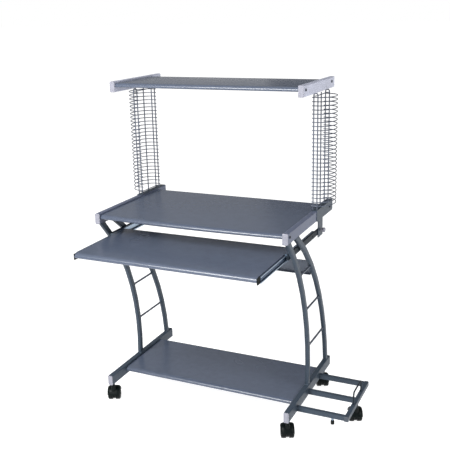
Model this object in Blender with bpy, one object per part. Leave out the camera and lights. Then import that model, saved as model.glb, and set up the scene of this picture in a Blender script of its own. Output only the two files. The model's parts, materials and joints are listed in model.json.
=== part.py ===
"""Mobile computer workstation: a castored steel frame carrying a desktop, a raised shelf on two wire
media racks, a pull-out keyboard tray, a low printer shelf and an outboard stand for a tower computer.

Units are metres and +Z is up.  Lengths are laid out in a stand frame: X = 0 on the middle plane
between the side frames, Y = 0 at the front ends of the desk rails with +Y to the rear, Z = 0 on
the floor.  at() shifts that frame so the finished object is centred on the world origin.
"""

import math

import bmesh
import bpy
from mathutils import Vector

# ---- whole object -------------------------------------------------------------------------------
FIT = 0.0003            # clearance left between two neighbouring pieces

# ---- rectangular frame tubes --------------------------------------------------------------------
FRAME_X = 0.372         # middle of each side frame from the middle plane
TUBE_W = 0.020
TUBE_H = 0.040
TUBE_WALL = 0.0015
TUBE_CORNER = 0.003

BASE_FRONT = 0.007
BASE_REAR = 0.508
BASE_BOTTOM = 0.079

DESK_FRONT = 0.0
DESK_REAR = 0.508
DESK_BOTTOM = 0.750

SHELF_FRONT = 0.156
SHELF_REAR = 0.508
SHELF_BOTTOM = 1.222

CAP_HEAD = 0.0025       # visible thickness of a tube plug
CAP_PLUG = 0.010        # length pushed into the tube

# ---- curved legs and the rods between them ------------------------------------------------------
LEG_W = 0.016
LEG_D = 0.022
LEG_CORNER = 0.005
LEG_WALL = 0.0015
LEG_SAG = 0.0014        # depth of the flats between two stations of a leg's bend
FRONT_ARC = (-0.556, 0.197, 0.804)    # centre Y, centre Z and radius of the front leg's middle line
REAR_ARC = (-0.3815, 0.045, 0.857)    # the same for the rear leg
ROD_R = 0.004
ROD_HEIGHTS = (0.274, 0.432, 0.590)

# ---- panels -------------------------------------------------------------------------------------
PANEL_T = 0.016
PANEL_DROP = 0.006      # panel top below the top of its rails
PANEL_HALF = 0.350      # half width of a panel's upper face
TONGUE = 0.0115         # how far the thinner edge tongue runs on to the rail
PANEL_BACK = 0.442
DESK_BOW = 0.011        # how far the desktop's front edge swells forward in the middle
LOWER_FRONT = 0.111
LOWER_BACK = 0.404

# ---- keyboard tray and its slides ---------------------------------------------------------------
TRAY_HALF = 0.347
TRAY_T = 0.018
TRAY_TOP = 0.697
TRAY_FRONT = -0.190
TRAY_BACK = 0.142
SLIDE_W = 0.010
SLIDE_H = 0.027
SLIDE_T = 0.0012
SLIDE_LEN = 0.300
SLIDE_START = 0.062
RUNNER_FRONT = -0.168
BUMPER_LEN = 0.020
BUMPER_W = 0.004
BAR_T = 0.006
BAR_H = 0.022
BAR_FRONT = 0.062
BAR_BACK = 0.425
BAR_BOTTOM = 0.677
BAR_OUTER = FRAME_X - LEG_W / 2 - FIT
HANGER_FRONT = 0.378
HANGER_BACK = 0.432
HANGER_LOW = 0.667
HANGER_T = 0.003
KNOB_R = 0.0095
KNOB_LEN = 0.018
KNOB_Z = 0.692

# ---- cross member between the rear legs ---------------------------------------------------------
CROSS_Y = 0.300
CROSS_BOTTOM = 0.545
CROSS_TOP = 0.600
CROSS_T = 0.002
CROSS_LIP = 0.014

# ---- saddles that carry the racks on the desk rails ---------------------------------------------
SADDLE_FRONT = 0.308
SADDLE_REAR = 0.500
SADDLE_T = 0.0015

# ---- wire media racks ---------------------------------------------------------------------------
UPRIGHT_R = 0.0026      # corner radius of the square section that stands for the round wire
RUNG_R = 0.0020
RACK_FRONT = 0.318
RACK_REAR = 0.456
RACK_STOP = 0.380
RACK_PAIR = 0.0075      # half spacing of the two uprights of a ladder
RACK_TOP = 1.2215
RUNG_FIRST = 0.8071
RUNG_PITCH = 0.0147
RUNG_COUNT = 28
STUB_REACH = 0.014      # inboard reach of a rung's free ends
LOOP_REACH = 0.0555     # outboard reach of a rung's loop from the ladders' middle line

# ---- tower computer stand -----------------------------------------------------------------------
STAND_TUBE_W = 0.016
STAND_TUBE_H = 0.020
STAND_X = 0.569         # middle of the outboard tube
STAND_FRONT = 0.095
STAND_REAR = 0.381
STAND_BOTTOM = 0.081
STAND_BAR_Y = (0.103, 0.238, 0.373)
GLIDE_X = 0.516
HOOP_R = 0.003
HOOP_FRONT = 0.190
HOOP_REAR = 0.294
HOOP_RISE = 0.048       # middle line of the hoop's top bar above the outboard tube
HOOP_BEND = 0.012

# ---- twin-wheel casters -------------------------------------------------------------------------
WHEEL_R = 0.025
WHEEL_HALF = 0.0246     # half width over both wheels
WHEEL_GAP = 0.0055      # half the space between the two wheels
AXLE_R = 0.004
TRAIL = 0.020           # axle behind the swivel axis
HOOD_R = 0.032
HOOD_HALF = WHEEL_HALF + 0.0006
HOOD_T = 0.0025
HOOD_RIM = math.radians(8.0)          # angle of the hood's lower edges above the axle
CASTER_TURN = math.radians(25.0)      # how far the casters stand turned about their stems
STEM_R = 0.005
STEM_TOP = 0.094
SOCKET_R = 0.0056
CASTERS = (
    ("front_left", -FRAME_X, 0.026),
    ("front_right", FRAME_X, 0.026),
    ("rear_left", -FRAME_X, 0.446),
    ("rear_right", FRAME_X, 0.446),
    ("stand", STAND_X, 0.232),
)

SIDES = (("left", -1.0), ("right", 1.0))

# ---- middle of the overall width (tower stand included) and depth (tray pulled out) --------------
RIGHT_REACH = HOOD_HALF * math.cos(CASTER_TURN)
RIGHT_REACH += (HOOD_R * math.cos(HOOD_RIM) - TRAIL) * math.sin(CASTER_TURN)
LEFT_REACH = LOOP_REACH + RUNG_R * math.sqrt(0.5)
CENTRE_X = (STAND_X + RIGHT_REACH - FRAME_X - LEFT_REACH) / 2
CENTRE_Y = (TRAY_FRONT + DESK_REAR) / 2


# ---- materials ----------------------------------------------------------------------------------
def material(name, colour, metallic, roughness):
    """One Principled BSDF material."""
    made = bpy.data.materials.new(name)
    made.use_nodes = True
    shader = made.node_tree.nodes["Principled BSDF"]
    shader.inputs["Base Color"].default_value = (*colour, 1.0)
    shader.inputs["Metallic"].default_value = metallic
    shader.inputs["Roughness"].default_value = roughness
    made.diffuse_color = (*colour, 1.0)
    return made


# ---- building blocks ----------------------------------------------------------------------------
def at(x, y, z):
    """Stand-frame position as a world location."""
    return Vector((x - CENTRE_X, y - CENTRE_Y, z))


def object_from(name, bm, surface, location):
    """Turn a bmesh into a placed object; curved faces shade smooth, edges over 30 degrees stay crisp."""
    bmesh.ops.remove_doubles(bm, verts=bm.verts, dist=1e-7)
    bmesh.ops.recalc_face_normals(bm, faces=bm.faces)
    for face in bm.faces:
        face.smooth = True
    for edge in bm.edges:
        edge.smooth = len(edge.link_faces) == 2 and edge.calc_face_angle(0.0) < math.radians(30.0)
    mesh = bpy.data.meshes.new(name)
    bm.to_mesh(mesh)
    bm.free()
    mesh.materials.append(surface)
    made = bpy.data.objects.new(name, mesh)
    made.location = location
    bpy.context.scene.collection.objects.link(made)
    return made


def add_loft(bm, sections, closed=False):
    """Join equal rings of points into one skin, with flat ends unless the loft closes on itself."""
    rings = [[bm.verts.new(point) for point in section] for section in sections]
    count = len(rings[0])
    pairs = list(zip(rings, rings[1:]))
    if closed:
        pairs.append((rings[-1], rings[0]))
    for near, far in pairs:
        for i in range(count):
            j = (i + 1) % count
            bm.faces.new((near[i], near[j], far[j], far[i]))
    if not closed:
        bm.faces.new(rings[0])
        bm.faces.new(rings[-1])


def add_box(bm, low, high):
    """Axis-aligned block between two corners."""
    corners = ((low[0], low[2]), (high[0], low[2]), (high[0], high[2]), (low[0], high[2]))
    add_loft(bm, [[Vector((x, y, z)) for x, z in corners] for y in (low[1], high[1])])


def ring_points(width, height, corner, steps):
    """Rounded rectangle about the origin, as (across, up) pairs."""
    points = []
    for sx, sy, start in ((1, 1, 0.0), (-1, 1, 90.0), (-1, -1, 180.0), (1, -1, 270.0)):
        for k in range(steps + 1):
            angle = math.radians(start + 90.0 * k / steps)
            points.append((
                sx * (width / 2 - corner) + corner * math.cos(angle),
                sy * (height / 2 - corner) + corner * math.sin(angle),
            ))
    return points


def circle_points(radius, sides):
    """Regular polygon about the origin, as pairs."""
    turn = math.tau / sides
    return [(radius * math.cos(turn * (k + 0.5)), radius * math.sin(turn * (k + 0.5))) for k in range(sides)]


def add_tube(bm, outer, inner):
    """Open-ended hollow body from matching outer and inner ring stations."""
    stations = [list(ring) for ring in outer] + [list(ring) for ring in reversed(inner)]
    add_loft(bm, stations, closed=True)


def straight_tube(name, surface, location, length, width, height, corner, wall):
    """Hollow rectangular tube running along +Y from its own origin."""
    bm = bmesh.new()
    outer = ring_points(width, height, corner, 3)
    inner = ring_points(width - 2 * wall, height - 2 * wall, corner - wall, 3)
    stations = (0.0, length)
    add_tube(
        bm,
        [[Vector((x, y, z)) for x, z in outer] for y in stations],
        [[Vector((x, y, z)) for x, z in inner] for y in stations],
    )
    return object_from(name, bm, surface, location)


def tube_plug(name, surface, location, width, height, corner, wall, direction):
    """Tube end plug: a domed head outside and a smaller plug inside, pointing along direction * Y."""
    bm = bmesh.new()
    inside = 2 * (wall + FIT)
    head = ring_points(width, height, corner, 3)
    crown = ring_points(width - 0.003, height - 0.003, corner, 3)
    plug = ring_points(width - inside, height - inside, corner - wall, 3)
    stations = (
        (crown, -CAP_HEAD), (head, -CAP_HEAD + 0.001), (head, 0.0),
        (plug, 0.0), (plug, CAP_PLUG),
    )
    add_loft(bm, [[Vector((x, direction * y, z)) for x, z in ring] for ring, y in stations])
    return object_from(name, bm, surface, location)


def cylinder(bm, start, end, radius, sides):
    """Solid round bar between two points."""
    axis = end - start
    turn = axis.to_track_quat("Z", "Y").to_matrix()
    ring = [turn @ Vector((u, v, 0.0)) for u, v in circle_points(radius, sides)]
    add_loft(bm, [[start + p for p in ring], [end + p for p in ring]])


def add_wire(bm, path, radius, sides, square_to="Z"):
    """Round wire following a flat path of points, mitred at each bend; square_to names the axis across it."""
    rings = []
    up = Vector([float(square_to == axis) for axis in "XYZ"])
    for i, point in enumerate(path):
        before = (point - path[i - 1]).normalized() if i > 0 else (path[1] - point).normalized()
        after = (path[i + 1] - point).normalized() if i < len(path) - 1 else before
        along = (before + after).normalized()
        stretch = 1.0 / max(0.2, along.dot(after))
        side = along.cross(up).normalized()
        normal = side.cross(along).normalized()
        rings.append([
            point + side * (u * stretch) + normal * v for u, v in circle_points(radius, sides)
        ])
    add_loft(bm, rings)


def cut(target, cutter):
    """Take one hidden cutter object out of a target."""
    cutter.hide_render = True
    cutter.display_type = "WIRE"
    modifier = target.modifiers.new("cut_" + cutter.name, "BOOLEAN")
    modifier.operation = "DIFFERENCE"
    modifier.solver = "EXACT"
    modifier.object = cutter


def join(target, other):
    """Merge one hidden object into a target."""
    other.hide_render = True
    other.display_type = "WIRE"
    modifier = target.modifiers.new("join_" + other.name, "BOOLEAN")
    modifier.operation = "UNION"
    modifier.solver = "EXACT"
    modifier.object = other


# ---- side frames --------------------------------------------------------------------------------
def frame_tube(name, cap_name, side, front, rear, bottom, tube_paint, cap_paint):
    """One rectangular tube of a side frame with a plug in its front end."""
    x = side * FRAME_X
    z = bottom + TUBE_H / 2
    size = (TUBE_W, TUBE_H, TUBE_CORNER, TUBE_WALL)
    start = front + CAP_HEAD + FIT
    tube = straight_tube(name, tube_paint, at(x, start, z), rear - start, *size)
    tube_plug(cap_name, cap_paint, at(x, front + CAP_HEAD, z), *size, 1.0)
    return tube


def arc_y(arc, z):
    """Distance back of a leg's middle line at a height."""
    return arc[0] + math.sqrt(arc[2] ** 2 - (z - arc[1]) ** 2)


def curved_leg(name, surface, side, arc):
    """Hollow leg bent on an arc in the side plane, trimmed level on the base tube and under the rail."""
    bottom = BASE_BOTTOM + TUBE_H + FIT
    top = DESK_BOTTOM - FIT
    steps = 8
    outer = ring_points(LEG_W, LEG_D, LEG_CORNER, 2)
    inner = ring_points(LEG_W - 2 * LEG_WALL, LEG_D - 2 * LEG_WALL, LEG_CORNER - LEG_WALL, 2)
    origin_y = arc_y(arc, bottom)

    def station(points, level):
        z = bottom + (top - bottom) * level
        lean = math.asin((z - arc[1]) / arc[2])
        y = arc_y(arc, z)
        ring = []
        for across, along in points:
            if level in (0.0, 1.0):
                shift = Vector((across, along / math.cos(lean), 0.0))
            else:
                shift = Vector((across, along * math.cos(lean), along * math.sin(lean)))
            ring.append(Vector((0.0, y - origin_y, z - bottom)) + shift)
        return ring

    levels = [k / steps for k in range(steps + 1)]
    bm = bmesh.new()
    add_tube(bm, [station(outer, v) for v in levels], [station(inner, v) for v in levels])
    return object_from(name, bm, surface, at(side * FRAME_X, origin_y, bottom))


def brace_rod(name, surface, side, height):
    """Round rod between the facing edges of the two legs."""

    def reach(arc):
        lean = math.asin((height - arc[1]) / arc[2])
        return (LEG_D / 2 + LEG_SAG) / math.cos(lean) + ROD_R * math.tan(lean) + FIT

    start = arc_y(FRONT_ARC, height) + reach(FRONT_ARC)
    end = arc_y(REAR_ARC, height) - reach(REAR_ARC)
    bm = bmesh.new()
    cylinder(bm, Vector((0.0, 0.0, 0.0)), Vector((0.0, end - start, 0.0)), ROD_R, 10)
    return object_from(name, bm, surface, at(side * FRAME_X, start, height))


# ---- panels -------------------------------------------------------------------------------------
def panel(name, surface, front, back, top, thick, half, tongue, bow):
    """Laminated panel with a rounded front edge; its lower half carries a tongue to each rail."""
    nose = thick / 2
    lower = thick * 0.45
    bm = bmesh.new()
    count = 12 if bow else 1
    stations = []
    for k in range(count + 1):
        x = -half + 2 * half * k / count
        swell = bow * (1.0 - (x / half) ** 2)
        ring = []
        for n in range(7):
            angle = math.radians(-90.0 - 180.0 * n / 6)
            y = front - swell + nose * 0.7 + nose * 0.7 * math.cos(angle)
            ring.append(Vector((x, y, -nose + nose * math.sin(angle))))
        ring.append(Vector((x, back, 0.0)))
        ring.append(Vector((x, back, -thick)))
        stations.append(ring)
    add_loft(bm, stations)
    board = object_from(name, bm, surface, at(0.0, 0.0, top))
    if tongue:
        strips = bmesh.new()
        for _, side in SIDES:
            near = side * (half - 0.004)
            far = side * (half + tongue)
            low = (min(near, far), front + 0.030, -thick + 0.0008)
            high = (max(near, far), back - 0.006, -thick + lower)
            add_box(strips, low, high)
        join(board, object_from(name + "_tongues", strips, surface, at(0.0, 0.0, top)))
    return board


# ---- keyboard tray gear -------------------------------------------------------------------------
def channel(name, surface, location, side, depth, height, length, wall, lip):
    """C-shaped strip along +Y, its web on the outboard side and its lips turned over the open side."""
    half = height / 2
    profile = [
        (0.0, -half), (0.0, half), (-depth, half), (-depth, half - lip), (-depth + wall, half - lip),
        (-depth + wall, half - wall), (-wall, half - wall), (-wall, -half + wall),
        (-depth + wall, -half + wall), (-depth + wall, -half + lip), (-depth, -half + lip),
        (-depth, -half),
    ]
    bm = bmesh.new()
    add_loft(bm, [[Vector((side * u, y, v)) for u, v in profile] for y in (0.0, length)])
    return object_from(name, bm, surface, location)


def runner(name, surface, location, side, length):
    """Tray half of a slide: a flat bead that rides inside the channel on a web fixed to the tray."""
    web = SLIDE_H / 2 - 0.0045
    bead = SLIDE_H / 2 - SLIDE_T - 0.0006
    profile = [
        (0.0, -web), (0.0, web), (0.0036, web), (0.0036, bead), (0.0070, bead), (0.0070, -bead),
        (0.0036, -bead), (0.0036, -web),
    ]
    bm = bmesh.new()
    add_loft(bm, [[Vector((side * u, y, v)) for u, v in profile] for y in (0.0, length)])
    return object_from(name, bm, surface, location)


def hanger(name, surface, side):
    """Angle bracket screwed under the desk rail, its leaf hanging outboard of the tray bar."""
    inner = BAR_OUTER + FIT
    top = DESK_BOTTOM - FIT
    profile = [
        (inner, HANGER_LOW), (inner, top), (FRAME_X + 0.008, top), (FRAME_X + 0.008, top - HANGER_T),
        (inner + HANGER_T, top - HANGER_T), (inner + HANGER_T, HANGER_LOW),
    ]
    bm = bmesh.new()
    length = HANGER_BACK - HANGER_FRONT
    add_loft(bm, [[Vector((side * (u - inner), y, v - top)) for u, v in profile] for y in (0.0, length)])
    return object_from(name, bm, surface, at(side * inner, HANGER_FRONT, top))


def knob(name, surface, side):
    """Round clamping knob on the outboard face of a hanger."""
    start = BAR_OUTER + HANGER_T + 2 * FIT
    neck = KNOB_LEN / 2
    profile = [
        (0.0, 0.005), (neck, 0.005), (neck, KNOB_R - 0.001), (neck + 0.001, KNOB_R),
        (KNOB_LEN - 0.003, KNOB_R), (KNOB_LEN, KNOB_R - 0.003),
    ]
    bm = bmesh.new()
    rings = []
    for reach, radius in profile:
        rings.append([Vector((side * reach, u, v)) for u, v in circle_points(radius, 20)])
    add_loft(bm, rings)
    middle = (HANGER_FRONT + HANGER_BACK) / 2
    return object_from(name, bm, surface, at(side * start, middle, KNOB_Z))


# ---- media racks --------------------------------------------------------------------------------
def rack_saddle(name, surface, side):
    """Folded sheet over the top and the outboard face of a desk rail, under the rack."""
    inner = -TUBE_W / 2 + 0.0002
    outer = TUBE_W / 2 + FIT
    drop = -TUBE_H - FIT
    profile = [
        (inner, 0.0), (outer, 0.0), (outer, drop), (outer + SADDLE_T, drop),
        (outer + SADDLE_T, SADDLE_T), (inner, SADDLE_T),
    ]
    bm = bmesh.new()
    length = SADDLE_REAR - SADDLE_FRONT
    add_loft(bm, [[Vector((side * u, y, v)) for u, v in profile] for y in (0.0, length)])
    return object_from(name, bm, surface, at(side * FRAME_X, SADDLE_FRONT, DESK_BOTTOM + TUBE_H + FIT))


def media_rack(name, surface, side):
    """Two arched wire ladders and a stop wire, tied by stacked loops that bulge outboard."""
    foot = DESK_BOTTOM + TUBE_H + SADDLE_T + 2 * FIT
    height = RACK_TOP - foot
    uprights = bmesh.new()
    for y in (RACK_FRONT, RACK_REAR):
        path = [Vector((-RACK_PAIR, y, 0.0))]
        for k in range(5):
            angle = math.pi * (1.0 - k / 4)
            rise = height - UPRIGHT_R - RACK_PAIR + RACK_PAIR * math.sin(angle)
            path.append(Vector((RACK_PAIR * math.cos(angle), y, rise)))
        path.append(Vector((RACK_PAIR, y, 0.0)))
        add_wire(uprights, path, UPRIGHT_R, 4, "Y")
    add_wire(
        uprights,
        [Vector((0.0, RACK_STOP, 0.0)), Vector((0.0, RACK_STOP, height - 0.004))],
        UPRIGHT_R, 4, "Y",
    )
    rack = object_from(name, uprights, surface, at(side * FRAME_X, 0.0, foot))

    loops = bmesh.new()
    middle = (RACK_FRONT + RACK_REAR) / 2
    half = (RACK_REAR - RACK_FRONT) / 2
    for level in range(RUNG_COUNT):
        z = RUNG_FIRST + RUNG_PITCH * level - foot
        path = [Vector((-side * STUB_REACH, RACK_FRONT, z))]
        for k in range(7):
            angle = math.radians(-90.0 + 180.0 * k / 6)
            path.append(Vector((
                side * (0.004 + (LOOP_REACH - 0.004) * math.cos(angle)),
                middle + half * math.sin(angle),
                z,
            )))
        path.append(Vector((-side * STUB_REACH, RACK_REAR, z)))
        add_wire(loops, path, RUNG_R, 4)
    for z in (0.008, height - 0.0125):
        tie = [
            Vector((-RACK_PAIR, RACK_FRONT, z)), Vector((0.0, RACK_FRONT + 0.012, z)),
            Vector((0.0, RACK_REAR - 0.012, z)), Vector((RACK_PAIR, RACK_REAR, z)),
        ]
        add_wire(loops, tie, RUNG_R, 4)
    join(rack, object_from(name + "_loops", loops, surface, at(side * FRAME_X, 0.0, foot)))
    return rack


# ---- cross member -------------------------------------------------------------------------------
def cross_member(name, surface):
    """Folded sheet channel between the rear legs, open to the front, with rounded folds."""
    half = FRAME_X - LEG_W / 2 - FIT
    height = CROSS_TOP - CROSS_BOTTOM
    bend = 0.008
    outside = [(-CROSS_LIP, 0.0)]
    inside = [(-CROSS_LIP, CROSS_T)]
    for mid_z, start in ((bend, -90.0), (height - bend, 0.0)):
        for k in range(5):
            angle = math.radians(start + 90.0 * k / 4)
            across, up = math.cos(angle), math.sin(angle)
            outside.append((-bend + bend * across, mid_z + bend * up))
            inside.append((-bend + (bend - CROSS_T) * across, mid_z + (bend - CROSS_T) * up))
    outside.append((-CROSS_LIP, height))
    inside.append((-CROSS_LIP, height - CROSS_T))
    outline = outside + inside[::-1]
    bm = bmesh.new()
    add_loft(bm, [[Vector((x, y, z)) for y, z in outline] for x in (-half, half)])
    return object_from(name, bm, surface, at(0.0, CROSS_Y + CROSS_LIP / 2, CROSS_BOTTOM))


# ---- tower computer stand -----------------------------------------------------------------------
def tower_stand(name, surface, cap_surface):
    """Welded hollow frame: an outboard tube with three bars running in to the base tube."""
    length = STAND_REAR - STAND_FRONT
    wall = TUBE_WALL
    middle = STAND_BOTTOM + STAND_TUBE_H / 2
    home = at(STAND_X, STAND_FRONT, middle)
    shell = bmesh.new()
    outline = ring_points(STAND_TUBE_W, STAND_TUBE_H, TUBE_CORNER, 3)
    add_loft(shell, [[Vector((x, y, z)) for x, z in outline] for y in (0.0, length)])
    frame = object_from(name, shell, surface, home)

    inner_end = FRAME_X + TUBE_W / 2 + FIT - STAND_X
    bars = bmesh.new()
    bores = bmesh.new()
    for bar_y in STAND_BAR_Y:
        y = bar_y - STAND_FRONT
        add_box(bars, (inner_end, y - 0.007, -0.009), (0.0, y + 0.007, 0.009))
        add_box(bores, (inner_end - 0.002, y - 0.0055, -0.0075), (0.001, y + 0.0055, 0.0075))
    join(frame, object_from(name + "_bars", bars, surface, home))

    bore = bmesh.new()
    hollow = ring_points(STAND_TUBE_W - 2 * wall, STAND_TUBE_H - 2 * wall, TUBE_CORNER - wall, 3)
    add_loft(bore, [[Vector((x, y, z)) for x, z in hollow] for y in (-0.002, length + 0.002)])
    cut(frame, object_from(name + "_bore", bore, surface, home))
    cut(frame, object_from(name + "_bar_bores", bores, surface, home))
    for cap, y, direction in (("front", STAND_FRONT, 1.0), ("rear", STAND_REAR, -1.0)):
        size = (STAND_TUBE_W, STAND_TUBE_H, TUBE_CORNER, wall)
        tube_plug("stand_cap_" + cap, cap_surface, at(STAND_X, y - direction * FIT, middle), *size, direction)
    return frame


def stand_hoop(name, surface):
    """Rod hoop on top of the outboard tube that keeps the tower from sliding off."""
    half = (HOOP_REAR - HOOP_FRONT) / 2
    path = [Vector((0.0, -half, 0.0))]
    for side, start in ((-1.0, 180.0), (1.0, 90.0)):
        for k in range(5):
            angle = math.radians(start - 90.0 * k / 4)
            path.append(Vector((
                0.0,
                side * (half - HOOP_BEND) + HOOP_BEND * math.cos(angle),
                HOOP_RISE - HOOP_BEND + HOOP_BEND * math.sin(angle),
            )))
    path.append(Vector((0.0, half, 0.0)))
    bm = bmesh.new()
    add_wire(bm, path, HOOP_R, 8, "X")
    foot = STAND_BOTTOM + STAND_TUBE_H + FIT
    return object_from(name, bm, surface, at(STAND_X, (HOOP_FRONT + HOOP_REAR) / 2, foot))


def lathe(bm, profile, sides, axis):
    """Solid of revolution from (along, radius) pairs about the Z or X axis."""
    rings = []
    turn = math.tau / sides
    for along, radius in profile:
        ring = [(radius * math.sin(turn * k), radius * math.cos(turn * k)) for k in range(sides)]
        if axis == "Z":
            rings.append([Vector((u, v, along)) for u, v in ring])
        else:
            rings.append([Vector((along, u, v)) for u, v in ring])
    add_loft(bm, rings)


def glide(name, surface):
    """Stop foot hanging under the stand's front bar."""
    top = STAND_BOTTOM + 0.001 - FIT
    bm = bmesh.new()
    lathe(bm, ((0.0, 0.004), (-0.008, 0.004), (-0.008, 0.006), (-0.010, 0.007),
               (-0.024, 0.007), (-0.026, 0.005)), 16, "Z")
    return object_from(name, bm, surface, at(GLIDE_X, STAND_BAR_Y[0], top))


# ---- casters ------------------------------------------------------------------------------------
def hood_mesh(surface):
    """Hood, centre web and stem of a twin-wheel caster, about the swivel axis at axle height."""
    shell = bmesh.new()
    outline = []
    sweep = math.pi - 2 * HOOD_RIM
    for radius, order in ((HOOD_R, 1), (HOOD_R - HOOD_T, -1)):
        arc = [HOOD_RIM + sweep * k / 9 for k in range(10)][::order]
        outline += [(TRAIL + radius * math.cos(a), radius * math.sin(a)) for a in arc]
    add_loft(shell, [[Vector((x, y, z)) for y, z in outline] for x in (-HOOD_HALF, HOOD_HALF)])
    hood = object_from("hood_pattern", shell, surface, Vector())

    web = bmesh.new()
    upper = [math.radians(180.0 * k / 10) for k in range(11)]
    lower = [math.radians(180.0 + 180.0 * k / 5) for k in range(6)]
    plate = [(TRAIL + (HOOD_R - 0.001) * math.cos(a), (HOOD_R - 0.001) * math.sin(a)) for a in upper]
    plate += [(TRAIL + 0.013 * math.cos(a), 0.013 * math.sin(a)) for a in lower]
    thick = WHEEL_GAP - 0.0012
    add_loft(web, [[Vector((x, y, z)) for y, z in plate] for x in (-thick, thick)])

    neck = bmesh.new()
    add_box(neck, (-0.0040, -0.0085, 0.016), (0.0040, 0.0085, 0.030))

    stem = bmesh.new()
    base = BASE_BOTTOM - WHEEL_R
    lathe(stem, ((0.0240, 0.0088), (0.0350, 0.0088), (0.0370, 0.0070), (base - 0.001, 0.0070),
                 (base - 0.001, STEM_R), (STEM_TOP - WHEEL_R, STEM_R)), 12, "Z")

    axle = bmesh.new()
    lathe(axle, ((-0.02, AXLE_R + 0.0005), (0.02, AXLE_R + 0.0005)), 12, "X")
    bmesh.ops.translate(axle, verts=axle.verts, vec=(0.0, TRAIL, 0.0))

    helpers = [object_from("hood_" + part, bm, surface, Vector())
               for part, bm in (("web", web), ("neck", neck), ("stem", stem))]
    for helper in helpers:
        join(hood, helper)
    helpers.append(object_from("hood_axle", axle, surface, Vector()))
    cut(hood, helpers[-1])
    bpy.context.view_layer.update()
    graph = bpy.context.evaluated_depsgraph_get()
    made = bpy.data.meshes.new_from_object(hood.evaluated_get(graph))
    made.name = "caster_hood"
    for spare in [hood] + helpers:
        bpy.data.objects.remove(spare, do_unlink=True)
    return made


def wheel_mesh(surface):
    """Two wheels on one axle, about the middle of the axle."""
    side = [
        (WHEEL_HALF - 0.0015, 0.0165), (WHEEL_HALF, 0.0180),
        (WHEEL_HALF, 0.0225), (WHEEL_HALF - 0.0020, WHEEL_R), (WHEEL_GAP + 0.0020, WHEEL_R),
        (WHEEL_GAP, 0.0230), (WHEEL_GAP, AXLE_R),
    ]
    profile = [(-x, r) for x, r in side] + side[::-1]
    bm = bmesh.new()
    lathe(bm, profile, 18, "X")
    pattern = object_from("wheel_pattern", bm, surface, Vector())
    made = pattern.data
    made.name = "caster_wheels"
    bpy.data.objects.remove(pattern, do_unlink=True)
    return made


def stem_socket(tube, name, x, y, bottom):
    """Hole for a caster stem in the underside of a tube."""
    bm = bmesh.new()
    cylinder(bm, Vector((0.0, 0.0, -0.005)), Vector((0.0, 0.0, 0.006)), SOCKET_R, 16)
    cut(tube, object_from(name, bm, tube.data.materials[0], at(x, y, bottom)))


def place(name, mesh, location):
    """One more caster piece from a finished mesh, turned with its caster."""
    made = bpy.data.objects.new(name, mesh)
    made.location = location
    made.rotation_euler.z = CASTER_TURN
    bpy.context.scene.collection.objects.link(made)
    return made


# ---- assembly -----------------------------------------------------------------------------------
for old in list(bpy.data.objects):
    bpy.data.objects.remove(old, do_unlink=True)

PAINT = material("frame_paint", (0.095, 0.118, 0.150), 0.3, 0.42)
SILVER = material("rail_paint", (0.480, 0.490, 0.560), 0.4, 0.38)
CAP_LIGHT = material("cap_plastic", (0.600, 0.590, 0.620), 0.0, 0.45)
CAP_DARK = material("black_plastic", (0.010, 0.011, 0.012), 0.0, 0.35)
LAMINATE = material("panel_laminate", (0.190, 0.215, 0.270), 0.0, 0.45)
ZINC = material("slide_zinc", (0.620, 0.660, 0.690), 1.0, 0.28)
DARK_STEEL = material("dark_steel", (0.022, 0.028, 0.034), 0.3, 0.45)
WIRE = material("rack_wire", (0.130, 0.140, 0.170), 0.5, 0.40)
RUBBER = material("foot_rubber", (0.012, 0.012, 0.012), 0.0, 0.70)

base_tubes = {}
for label, sign in SIDES:
    base_tubes[sign] = frame_tube(
        "base_tube_" + label, "base_cap_" + label, sign, BASE_FRONT, BASE_REAR, BASE_BOTTOM, PAINT, CAP_LIGHT
    )
    frame_tube(
        "desk_rail_" + label, "desk_cap_" + label, sign, DESK_FRONT, DESK_REAR, DESK_BOTTOM, PAINT, CAP_LIGHT
    )
    frame_tube(
        "shelf_rail_" + label, "shelf_cap_" + label, sign, SHELF_FRONT, SHELF_REAR, SHELF_BOTTOM, SILVER,
        CAP_LIGHT,
    )
    curved_leg("leg_front_" + label, PAINT, sign, FRONT_ARC)
    curved_leg("leg_rear_" + label, PAINT, sign, REAR_ARC)
    for number, rod_z in enumerate(ROD_HEIGHTS, 1):
        brace_rod("brace_rod_%s_%d" % (label, number), DARK_STEEL, sign, rod_z)

    slide_z = TRAY_TOP - SLIDE_H / 2
    web_x = BAR_OUTER - BAR_T - FIT
    bar = bmesh.new()
    add_box(bar, (-BAR_T / 2, 0.0, 0.0), (BAR_T / 2, BAR_BACK - BAR_FRONT, BAR_H))
    bar_x = sign * (BAR_OUTER - BAR_T / 2)
    object_from("tray_bar_" + label, bar, DARK_STEEL, at(bar_x, BAR_FRONT, BAR_BOTTOM))
    channel(
        "slide_channel_" + label, ZINC, at(sign * web_x, SLIDE_START, slide_z), sign,
        SLIDE_W, SLIDE_H, SLIDE_LEN, SLIDE_T, 0.004,
    )
    runner(
        "slide_runner_" + label, ZINC, at(sign * (TRAY_HALF + FIT), RUNNER_FRONT, slide_z), sign, SLIDE_LEN
    )
    bumper = bmesh.new()
    near = sign * FIT
    far = sign * (BUMPER_W + FIT)
    add_box(bumper, (min(near, far), -BUMPER_LEN, -0.011), (max(near, far), -FIT, 0.011))
    object_from("slide_bumper_" + label, bumper, CAP_DARK, at(sign * TRAY_HALF, RUNNER_FRONT, slide_z))
    hanger("hanger_" + label, PAINT, sign)
    knob("hanger_knob_" + label, CAP_LIGHT, sign)
    rack_saddle("rack_saddle_" + label, PAINT, sign)
    media_rack("media_rack_" + label, WIRE, sign)

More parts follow.
